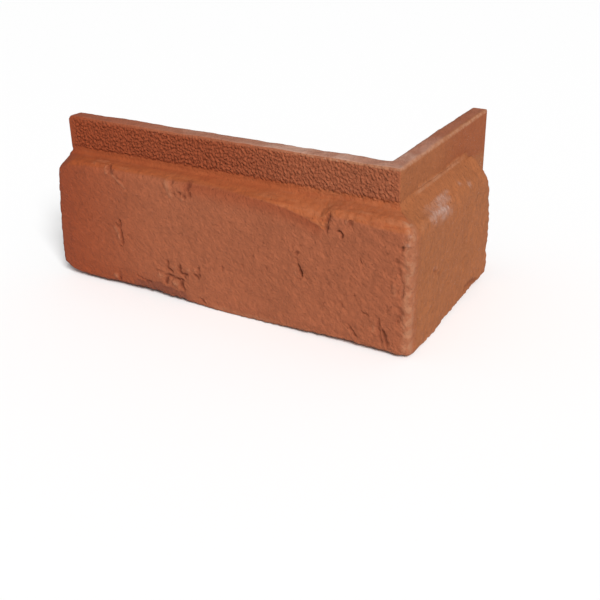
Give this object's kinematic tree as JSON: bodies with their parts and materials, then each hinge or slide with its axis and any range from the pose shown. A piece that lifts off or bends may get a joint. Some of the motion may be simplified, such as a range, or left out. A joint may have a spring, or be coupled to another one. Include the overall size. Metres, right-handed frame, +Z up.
{
  "type": "corner brick slip",
  "caption": "L-shaped fired-clay brick slip that faces the outside corner of a wall, moulded in one with the joint strips above it and at one end",
  "frame": {"origin": "middle of the bounding box in plan, on the floor that the bed stands on", "axes": "+Z is up, the long leg lies along X with its face toward -Y, the short leg lies along Y with its face toward +X"},
  "size_m": [0.2, 0.116, 0.0825],
  "materials": {
    "fired_clay": "matte"
  },
  "bodies": {
    "root": {"corner_slip": "fired_clay"}
  },
  "joints": []
}
